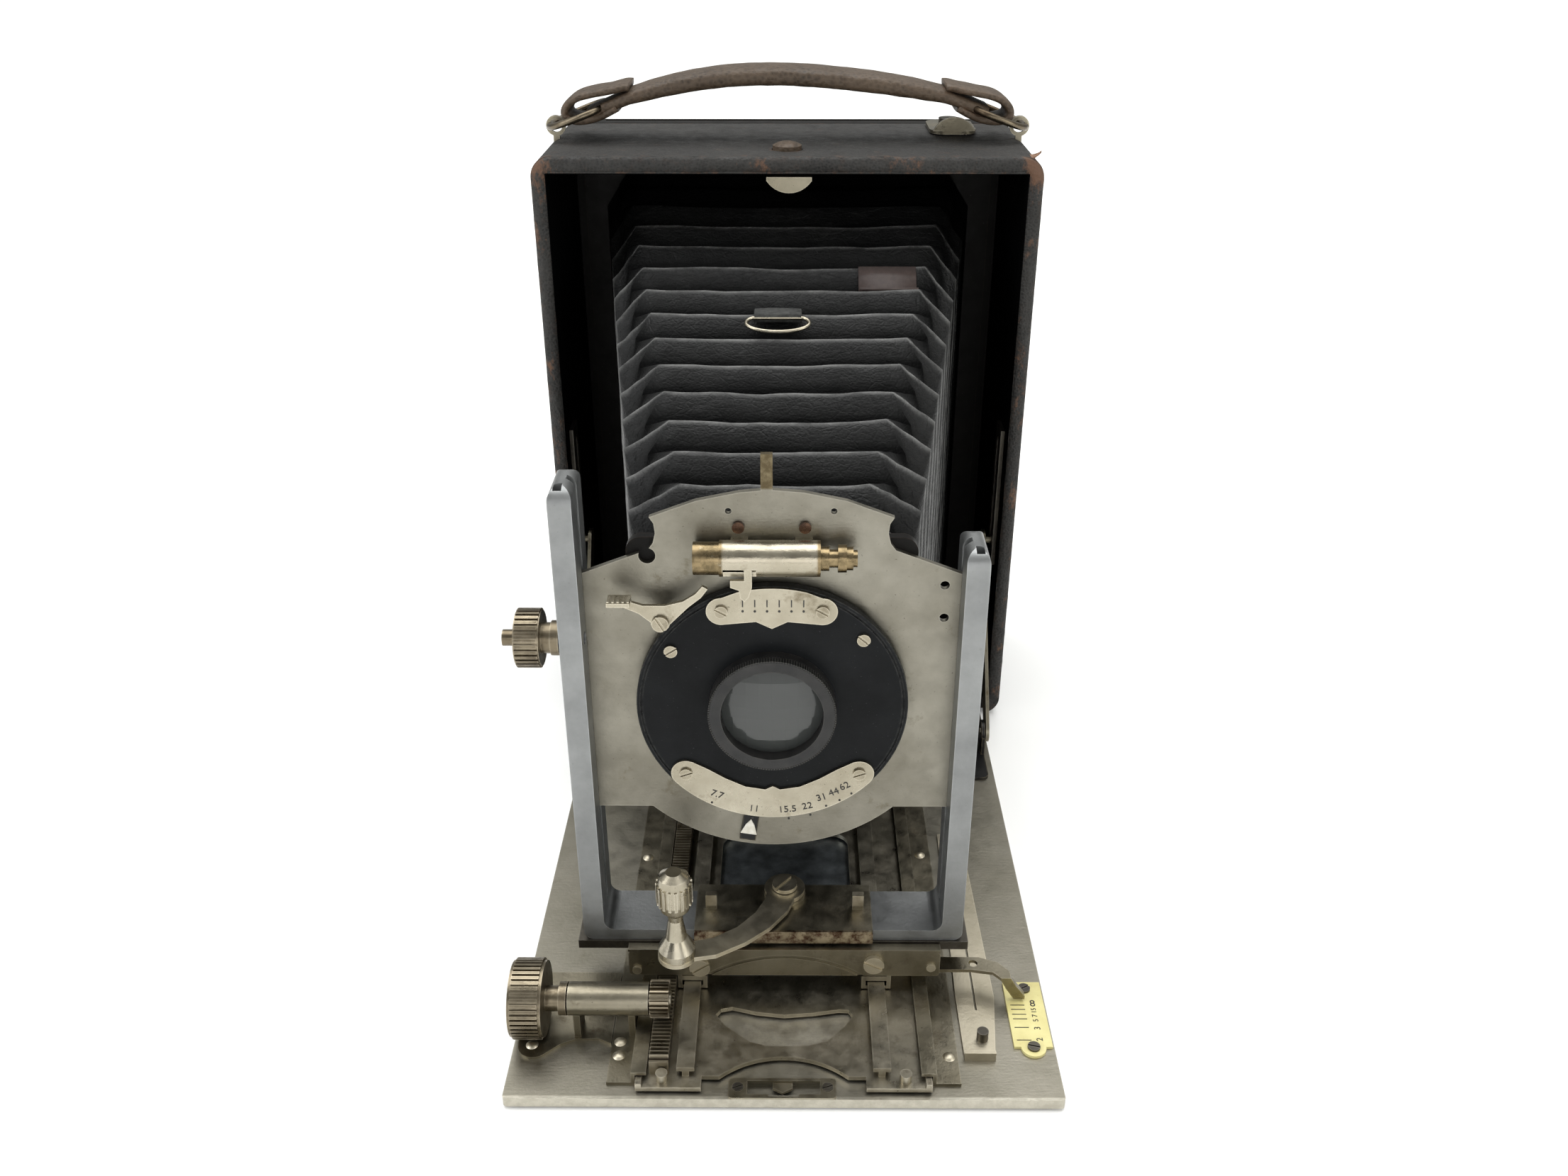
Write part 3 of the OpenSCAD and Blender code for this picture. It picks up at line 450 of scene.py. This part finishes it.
def glass(name, colour, rough, alpha, coat):
    s = Shader(name)
    col = s.mix(s.span(s.noise(90, 3, 0.5), 0.3, 0.7), colour, tuple(c * 0.9 for c in colour))
    s.base(col, s.span(s.noise(500, 3, 0.5), 0.3, 0.7, rough, rough + 0.05))
    s.b.inputs["Coat Weight"].default_value = coat
    s.b.inputs["Coat Roughness"].default_value = 0.03
    s.b.inputs["Specular IOR Level"].default_value = 0.35
    s.b.inputs["Alpha"].default_value = alpha
    return s.m


def flat(name, a, b, rough):
    s = Shader(name)
    s.base(s.mix(s.span(s.noise(900, 4, 0.6), 0.35, 0.65), a, b), rough)
    s.bump(s.noise(1200, 3), 0.1, 0.0001)
    return s.m


M["ivory"] = ivory()
M["lens"] = glass("lens_glass_coated", (0.045, 0.048, 0.046), 0.14, 1.0, 0.35)
M["ground"] = glass("ground_glass", (0.42, 0.45, 0.44), 0.55, 1.0, 0.1)
M["ink"] = flat("dial_ink", (0.012, 0.011, 0.010), (0.03, 0.028, 0.025), 0.6)
M["arrow"] = flat("arrow_white", (0.75, 0.73, 0.66), (0.6, 0.57, 0.48), 0.5)
M["patch"] = flat("brown_patch", (0.050, 0.034, 0.029), (0.034, 0.022, 0.019), 0.55)
M["cloth"] = flat("tab_cloth", (0.012, 0.0125, 0.012), (0.040, 0.041, 0.038), 0.85)
M["raw"] = flat("raw_leather", (0.22, 0.12, 0.07), (0.12, 0.06, 0.035), 0.75)

LOOKS = {
    "leather": "body_shell leather_cover bed_leather",
    "strap": "release_button",
    "wood": "back_frame bellows_rear_frame bellows_front_frame",
    "alu": "bed_plate",
    "cast": "u_frame",
    "board": "lens_plate",
    "saddle": "saddle_plate",
    "pump": "air_cylinder",
    "nickel": "speed_plate aperture_plate piston_tab release_lever clamp_knob",
    "bright": "clamp_arm bed_rivets bar_screws clamp_screw leaf_spring",
    "rack": "rack",
    "screws": "disc_screws",
    "dull": "eyelets knob_bracket front_bar pointer_arm latch_plate guide_rails catch_lever "
            "strut_left strut_right pinion_sleeve catch_hook",
    "steel": "body_rails track_plate end_stops carriage_base pinion_shaft",
    "dark": "slot_plates hinge_pin bed_screws back_catch_screw base_strip",
    "brass": "tripod_bush focus_knob pinion_gear rise_knob",
    "black": "strut_brackets aperture_pointer",
    "barrel": "lens_barrel",
    "disc": "shutter_disc",
    "ivory": "distance_scale",
    "lens": "lens_glass",
    "ground": "ground_glass",
}
for look, names in LOOKS.items():
    for name in names.split():
        N[name].data.materials.clear()
        N[name].data.materials.append(M[look])


# ---------------------------------------------------------------- mesh helpers
def make(name, verts, faces, look, smooth=True):
    me = bpy.data.meshes.new(name)
    me.from_pydata([tuple(v) for v in verts], [], faces)
    me.validate()
    bm = bmesh.new()
    bm.from_mesh(me)
    bmesh.ops.recalc_face_normals(bm, faces=bm.faces)
    bm.to_mesh(me)
    bm.free()
    for p in me.polygons:
        p.use_smooth = smooth
    ob = bpy.data.objects.new(name, me)
    bpy.context.scene.collection.objects.link(ob)
    ob.data.materials.append(M[look])
    return ob


def join(name, parts, look, smooth=True):
    """One mesh from several (verts, faces) lists."""
    verts, faces = [], []
    for v, f in parts:
        k = len(verts)
        verts += v
        faces += [[i + k for i in face] for face in f]
    return make(name, verts, faces, look, smooth)


def tube(path, radius, sides=12, closed=False):
    """(verts, faces) of a round rod along a path of Vectors in metres."""
    n = len(path)
    verts, faces = [], []
    up = None
    for i, p in enumerate(path):
        if closed:
            d = (path[(i + 1) % n] - path[i - 1]).normalized()
        else:
            d = (path[min(i + 1, n - 1)] - path[max(i - 1, 0)]).normalized()
        if up is None:
            up = Vector((0, 0, 1)) if abs(d.z) < 0.9 else Vector((1, 0, 0))
        side = d.cross(up).normalized()
        up = side.cross(d).normalized()
        for k in range(sides):
            a = 2 * math.pi * k / sides
            verts.append(p + (side * math.cos(a) + up * math.sin(a)) * radius)
    for i in range(n if closed else n - 1):
        j = (i + 1) % n
        for k in range(sides):
            m = (k + 1) % sides
            faces.append([i * sides + k, i * sides + m, j * sides + m, j * sides + k])
    if not closed:
        faces.append(list(range(sides))[::-1])
        faces.append([(n - 1) * sides + k for k in range(sides)])
    return verts, faces


def loft(rings, closed_ends=True):
    """(verts, faces) through rings of equally many Vectors."""
    n = len(rings[0])
    verts = [v for r in rings for v in r]
    faces = []
    for i in range(len(rings) - 1):
        for k in range(n):
            m = (k + 1) % n
            faces.append([i * n + k, i * n + m, (i + 1) * n + m, (i + 1) * n + k])
    if closed_ends:
        faces.append(list(range(n))[::-1])
        faces.append([(len(rings) - 1) * n + k for k in range(n)])
    return verts, faces


def slab(outline, y0, y1):
    """(verts, faces) of an (x, z) outline in millimetres between two Y planes."""
    return loft([[P(x, y0, z) for x, z in outline], [P(x, y1, z) for x, z in outline]])


# ---------------------------------------------------------------- bellows
B_REAR, B_FRONT = 47.9, -104.8
PLEAT, RIDGE0 = 10.5, 18.0


def centre_x(y):
    return LENS_X * (B_REAR - y) / (B_REAR - B_FRONT)


def crest(y):
    """1 at a ridge, 0 in a valley."""
    return abs(2 * (((y - RIDGE0) / PLEAT) % 1.0) - 1)


def section(y):
    """One ring of the bellows at y: chamfered rectangle that folds between ridge and valley."""
    tri = crest(y)
    s = 1 - math.sqrt((1 - tri) ** 2 + 0.0025)
    s = max(0.0, min(1.0, s))
    fade = min(1.0, (y - B_FRONT) / 4.0, (B_REAR - y) / 4.0)
    v = (1 - s) * fade
    hx = 27 + (y - B_FRONT) * 23 / 152.7
    zt = 133.4 + 0.257 * y
    zb = 17 + (B_REAR - y) * 32 / 152.7
    flat_x = min(37.6 + (y - 15) * 0.188, hx - 4)
    drop = 8.5 * hx / 45
    top, side = zt - 4.6 * v, hx - 3.0 * v
    fx, dz = flat_x + 5.5 * v, drop + 6.5 * v
    fx = min(fx, side - 2.0)
    bot = zb + 3.0 * v
    cx = centre_x(y)
    corners = [(fx, top), (side, top - dz), (side, bot + dz), (fx, bot),
               (-fx, bot), (-side, bot + dz), (-side, top - dz), (-fx, top)]
    counts = [5, 16, 5, 14, 5, 16, 5, 14]
    out = []
    for i, (a, n) in enumerate(zip(corners, counts)):
        b = corners[(i + 1) % 8]
        for k in range(n):
            t = k / n
            x, z = a[0] + (b[0] - a[0]) * t, a[1] + (b[1] - a[1]) * t
            w = noise.noise(Vector((x * 0.11, y * 0.13, z * 0.11)))
            crease = noise.noise(Vector((x * 0.35, y * 0.5, z * 0.35))) * (0.35 if n == 5 else 0.12)
            g = (w * 0.35 + crease) * fade
            sag = -0.5 * math.sin(math.pi * t) * fade if i == 7 else 0
            r = math.hypot(x, z - 78) or 1
            out.append(P(cx + x * (1 + g / r), y + 0.35 * w * fade, z + (z - 78) * g / r + sag))
    return out


def unsmooth(t):
    """The place u where 3u^2 - 2u^3 = t."""
    lo, hi = 0.0, 1.0
    for _ in range(40):
        mid = (lo + hi) / 2
        lo, hi = (mid, hi) if mid * mid * (3 - 2 * mid) < t else (lo, mid)
    return (lo + hi) / 2


def follow(piece):
    """Bake a piece's transform into its mesh."""
    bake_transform(piece)


SLIDE_A, SLIDE_B = 21.5, -92.25


def share(y):
    return (SLIDE_A - y) / (SLIDE_A - SLIDE_B)


cuts = [SLIDE_A] + [12.75 - PLEAT * i for i in range(11)]
spans = [(B_REAR, 28.5, "body", "bed", 0, 1), (28.5, SLIDE_A, "bed", "track", 0, 1)]
spans += [(a, b, "track", "carriage", share(a), share(b)) for a, b in zip(cuts, cuts[1:])]
spans += [(SLIDE_B, -97.5, "carriage", "front_frame", 0, 1),
          (-97.5, B_FRONT, "front_frame", "lens_board", 0, 1)]
for i, (ya, yb, a, b, ta, tb) in enumerate(spans):
    steps = max(2, round((ya - yb) / 0.875))
    places = [ya + (yb - ya) * k / steps for k in range(steps + 1)]
    rings = [section(y) for y in places]
    verts, faces = loft(rings, False)
    fold = make(f"bellows_fold_{i + 1:02d}", verts, faces, "bellows")
    # The fold value is the crest times a fade from 1 at y = 25 mm to 0 at y = 33 mm, which paints
    # the rear pleats in shade: dark and without a crest line.
    height = fold.data.attributes.new("fold", "FLOAT", "POINT")
    for k, y in enumerate(places):
        for j in range(len(rings[0])):
            height.data[k * len(rings[0]) + j].value = crest(y) * min(1.0, max(0.0, (33 - y) / 8))
    if i == 0:
        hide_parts("bellows")
    follow(fold)


def top_z(y):
    return 133.4 + 0.257 * y


ring_path = []
for k in range(40):
    a = 2 * math.pi * k / 40
    x, y = 7.3 * math.cos(a), -30.3 + 3.7 * math.sin(a)
    if math.sin(a) > 0.55:
        y = -30.3 + 3.7 * 0.55
    ring_path.append(P(-2 + x, y, top_z(y) + 0.9))
ring = join("bellows_pull_ring", [tube(ring_path, 0.00045, 10, True)], "nickel")
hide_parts("bellows_ring")
tab_rings = []
for k in range(9):
    y = -23.6 - k * 0.62
    lift = 1.5 - 0.9 * abs(k - 6.5) / 6.5 + (0.35 if k > 5 else 0)
    tab_rings.append([P(-2 + x * (1 + 0.02 * noise.noise(Vector((x, k, 0)))), y, top_z(y) + dz)
                      for x, dz in ((-5.6, 0.1), (-5.4, lift), (-2, lift + 0.2), (2, lift + 0.15),
                                    (5.4, lift), (5.6, 0.1))])
tab = join("bellows_ring_tab", [loft(tab_rings)], "cloth")
patch_rings = []
for k in range(6):
    y = -3.3 - k * 2.0
    v = 1 - abs(2 * (((y - RIDGE0) / PLEAT) % 1.0) - 1)
    patch_rings.append([P(x, y, top_z(y) - 4.0 * v + dz) for x, dz in
                        ((17.5, -0.3), (17.6, 0.3), (24, 0.32), (31.6, 0.3), (31.8, -0.3))])
patch = join("bellows_patch", [loft(patch_rings)], "patch")
for piece, at in ((ring, -30.0), (tab, -27.0), (patch, -8.0)):
    u, far = unsmooth(share(at)), -8000.0          # the share is worked out but not used; the piece is only baked
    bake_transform(piece)

# ---------------------------------------------------------------- handle
HY = 27.0


def strap_ring(x, z, tangent, width, thick, pad):
    """Rounded cross-section of the strap: width along Y, thickness along its normal."""
    nx, nz = -tangent[1], tangent[0]
    pts = []
    for k in range(24):
        a = 2 * math.pi * k / 24
        c, s = math.cos(a), math.sin(a)
        u = width / 2 * math.copysign(abs(c) ** 0.35, c)
        v = thick / 2 * math.copysign(abs(s) ** 0.7, s) * (1 + pad * (1 - (u / width * 2) ** 2))
        w = 0.12 * noise.noise(Vector((x * 0.3, u * 0.4, v)))
        pts.append(P(x + nx * (v + w), HY + u, z + nz * (v + w)))
    return pts


def strap_mid(x):
    return 173.4 - 6.6 * (x / 46) ** 2 - 0.35 * math.sin(x * 0.09) - max(0, abs(x) - 40) * 0.1


main = []
for k in range(61):
    x = -50 + 100 * k / 60
    slope = (strap_mid(x + 0.5) - strap_mid(x - 0.5))
    n = math.hypot(1, slope)
    bulge = max(0.0, 1 - (x / 44) ** 4)
    main.append(strap_ring(x, strap_mid(x), (1 / n, slope / n), 13.5 + 1.2 * bulge,
                           2.9 + 1.2 * bulge, 0.18 * bulge))
parts = [loft(main)]
for side in (-1, 1):
    path = [(39.5, 170.9), (41, 170.9), (44, 170.2), (48, 169.5), (52, 168.6), (54.6, 167.2),
            (55.9, 165.3), (55.4, 163.7), (53, 162.9), (49.5, 163.2), (46, 164.4), (42, 166.4)]
    smooth_path = []
    for i in range(len(path) - 1):
        p0, p1, p2, p3 = (path[max(i - 1, 0)], path[i], path[i + 1],
                          path[min(i + 2, len(path) - 1)])
        for j in range(4):
            t = j / 4
            smooth_path.append(tuple(
                0.5 * (2 * p1[c] + (p2[c] - p0[c]) * t
                       + (2 * p0[c] - 5 * p1[c] + 4 * p2[c] - p3[c]) * t * t
                       + (3 * p1[c] - p0[c] - 3 * p2[c] + p3[c]) * t ** 3) for c in (0, 1)))
    rings = []
    for i, (x, z) in enumerate(smooth_path):
        q = smooth_path[min(i + 1, len(smooth_path) - 1)]
        r = smooth_path[max(i - 1, 0)]
        d = (side * (q[0] - r[0]), q[1] - r[1])
        n = math.hypot(*d)
        rings.append(strap_ring(side * x, z, (d[0] / n, d[1] / n), 14.2, 2.0, 0.0))
    parts.append(loft(rings))
strap = join("carrying_strap", parts, "strap")
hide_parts("handle_strap")
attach(strap, "handle")
loops = []
for side in (-1, 1):
    path = []
    for k in range(48):
        a = 2 * math.pi * k / 48
        x = 53.4 + 7.2 * math.copysign(abs(math.cos(a)) ** 0.8, math.cos(a))
        path.append(P(side * x, HY + 8.9 * math.copysign(abs(math.sin(a)) ** 0.8, math.sin(a))
                      * (1 - 0.18 * (x - 53.4) / 7.2), 161.0 + (60.6 - x) * 0.37))
    loops.append(tube(path, 0.00085, 12, True))
wires = join("handle_wire_rings", loops, "wire")
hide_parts("handle_rings")
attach(wires, "handle")


# ---------------------------------------------------------------- body trim
def rim_path():
    pts = [(-60.05, 3.0 + i * 3) for i in range(50)]
    pts += [(-56.6 - 3.45 * math.cos(a * math.pi / 18), 152.7 + 3.45 * math.sin(a * math.pi / 18))
            for a in range(1, 9)]
    pts += [(-56.6 + i * 2.83, 156.15) for i in range(41)]
    pts += [(56.6 + 3.45 * math.sin(a * math.pi / 18), 152.7 + 3.45 * math.cos(a * math.pi / 18))
            for a in range(1, 9)]
    pts += [(60.05, 152.7 - i * 3) for i in range(50)]
    return pts


rp = rim_path()
rim_rings = []
for i, (x, z) in enumerate(rp):
    a, b = rp[max(i - 1, 0)], rp[min(i + 1, len(rp) - 1)]
    d = Vector((b[0] - a[0], b[1] - a[1])).normalized()
    out = Vector((-d.y, d.x))
    ring_pts = []
    for k in range(14):
        t = 2 * math.pi * k / 14
        w = 0.16 * noise.noise(Vector((x * 0.2, z * 0.2, k * 0.6)))
        u, v = 1.9 * math.cos(t) + w, 1.15 * math.sin(t) + w
        ring_pts.append(P(x + out.x * u, 0.55 + v, z + out.y * u))
    rim_rings.append(ring_pts)
rim = join("front_rim", [loft(rim_rings)], "leather")
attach(rim, "body")

flap_rings = []
for k in range(9):
    t = k / 8
    x0, z0 = 57.6 + 3.6 * t, 157.6 - 0.3 * t + 1.7 * t * t
    flap_rings.append([P(x0 + 0.5 * (1 - t), 1.4 + 6 * (1 - t) * j / 5 + 1.5 * t,
                         z0 + 0.25 * math.sin(j * 1.3) * t) for j in range(6)]
                      + [P(x0, 1.4 + 6 * (1 - t) * j / 5 + 1.5 * t, z0 - 0.6 + 0.2 * t)
                         for j in range(5, -1, -1)])
flap = join("torn_corner_flap", [loft(flap_rings)], "raw")
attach(flap, "body")

# ---------------------------------------------------------------- rack teeth
RACK_X0, RACK_X1 = -26.9, -23.2
teeth = []
rack_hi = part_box("rack")[1]
shaft = (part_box("pinion_shaft")[0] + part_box("pinion_shaft")[1]) / 2
FIRST_VISUAL_TOOTH = 18          # the solid has the teeth before this one
k = FIRST_VISUAL_TOOTH
y = shaft.y * 1000 - Y_SHIFT
while y + k * RACK_PITCH < rack_hi.y * 1000 - Y_SHIFT - 0.5:
    c = y + k * RACK_PITCH
    teeth.append(loft([[P(x, c - 0.28, 7.95), P(x, c - 0.13, 8.75), P(x, c + 0.13, 8.75),
                        P(x, c + 0.28, 7.95)] for x in (RACK_X0, RACK_X1)]))
    k += 1
rack_teeth = join("rack_teeth", teeth, "rack", False)
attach(rack_teeth, "track")


# ---------------------------------------------------------------- engraved dials
def digits(name, items, look, body, extrude=0.00004):
    """Generic numbers: (text, location in mm, size in mm, rotation)."""
    done = []
    for i, (text, loc, size, rot) in enumerate(items):
        cu = bpy.data.curves.new(f"{name}_{i}", "FONT")
        cu.body = text
        cu.size = size / 1000
        cu.align_x = "CENTER"
        cu.align_y = "CENTER"
        cu.extrude = extrude
        cu.resolution_u = 3
        ob = bpy.data.objects.new(f"{name}_{i}", cu)
        bpy.context.scene.collection.objects.link(ob)
        ob.location = P(*loc)
        ob.rotation_euler = rot
        done.append(ob)
    bpy.context.view_layer.update()
    dg = bpy.context.evaluated_depsgraph_get()
    verts, faces = [], []
    for ob in done:
        me = bpy.data.meshes.new_from_object(ob.evaluated_get(dg))
        me.transform(ob.matrix_world)
        k = len(verts)
        verts += [tuple(v.co) for v in me.vertices]
        faces += [[j + k for j in p.vertices] for p in me.polygons]
        bpy.data.meshes.remove(me)
        bpy.data.objects.remove(ob)
    piece = make(name, verts, faces, look, False)
    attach(piece, body)
    return piece


FRONT = math.radians(90)
LZ = 73.6
stops = [("7.7", -28.5), ("11", -8.9), ("15.5", 7.0), ("22", 16.6), ("31", 24.8), ("44", 31.6),
         ("62", 38.0)]
items, marks = [], []
for text, deg in stops:
    a = math.radians(deg)
    r = 24.6 if abs(deg) < 20 else 23.6
    x, z = LENS_X + r * math.sin(a), LZ - r * math.cos(a)
    items.append((text, (x, -111.34, z), 2.2, (FRONT, -a * 0.75, 0)))
    r = 26.9 if abs(deg) < 20 else 25.9
    x, z = LENS_X + r * math.sin(a), LZ - r * math.cos(a)
    marks.append(slab([(x + 0.24 * math.cos(t * math.pi / 4), z + 0.24 * math.sin(t * math.pi / 4))
                       for t in range(8)], -111.38, -111.2))
digits("aperture_numbers", items, "ink", "lens_board")
for i, x in enumerate((-5.5, -3.2, -0.9, 1.4, 3.7, 6.0)):
    marks.append(slab([(LENS_X + x + 0.25 * math.cos(t * math.pi / 4),
                        LZ + 21.6 + 0.25 * math.sin(t * math.pi / 4)) for t in range(8)],
                      -111.38, -111.2))
for i, x in enumerate((-5.5, -3.2, -0.9, 1.4, 3.7, 6.0)):
    marks.append(slab([(LENS_X + x - 0.12, LZ + 22.5), (LENS_X + x + 0.12, LZ + 22.5),
                       (LENS_X + x + 0.12, LZ + 24.0), (LENS_X + x - 0.12, LZ + 24.0)],
                      -111.36, -111.2))
dots = join("dial_marks", marks, "ink", False)
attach(dots, "lens_board")

a = math.radians(-8.9)


def dial(r, side):
    """A point r below the lens axis and side across, turned with the stop pointer."""
    return (LENS_X + side * math.cos(a) + r * math.sin(a),
            LZ + side * math.sin(a) - r * math.cos(a))


arrow = join("aperture_arrow", [slab([dial(32.9, -1.7), dial(32.9, 1.7), dial(30.6, 0.9),
                                      dial(29.2, 0.0), dial(30.6, -0.9)], -109.0, -108.7)],
             "arrow", False)
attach(arrow, "aperture")

marks = []
for y, x0 in ((-119.35, 48.4), (-120.6, 48.4), (-122.0, 48.4), (-123.3, 48.4), (-125.7, 48.4),
              (-129.2, 48.4)):
    marks.append(loft([[P(x0, y - 0.09, z), P(51.4, y - 0.09, z), P(51.4, y + 0.09, z),
                        P(x0, y + 0.09, z)] for z in (3.5, 3.66)]))
lines = join("distance_marks", marks, "ink", False)
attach(lines, "bed")
TURN = math.radians(90)
digits("distance_numbers",
       [("8", (53.2, -118.9, 3.62), 2.6, (0, 0, 0)),
        ("15", (53.2, -120.9, 3.62), 1.5, (0, 0, TURN)),
        ("7", (53.2, -122.4, 3.62), 1.6, (0, 0, TURN)),
        ("5", (53.2, -123.7, 3.62), 1.6, (0, 0, TURN)),
        ("3", (53.2, -125.9, 3.62), 1.9, (0, 0, TURN)),
        ("2", (53.2, -129.0, 3.62), 1.9, (0, 0, TURN))], "ink", "bed")

# ---------------------------------------------------------------- ground
mesh = bpy.data.meshes.new("floor")
mesh.from_pydata([(-4, -4, 0), (4, -4, 0), (4, 4, 0), (-4, 4, 0)], [], [(0, 1, 2, 3)])
floor = bpy.data.objects.new("floor", mesh)
bpy.context.scene.collection.objects.link(floor)
s = Shader("floor_white")
s.base(s.mix(s.span(s.noise(2.0), 0.3, 0.7), (0.93, 0.93, 0.915), (0.91, 0.91, 0.90)), 0.6)
far = s.math("ADD", s.math("MULTIPLY", s.axis(0), s.axis(0)),
             s.math("MULTIPLY", s.axis(1), s.axis(1)))
s.b.inputs["Emission Color"].default_value = (1.0, 1.0, 0.985, 1)
s.put(s.b.inputs["Emission Strength"], s.span(far, 0.03, 0.6, 0.06, 0.55))
mesh.materials.append(s.m)
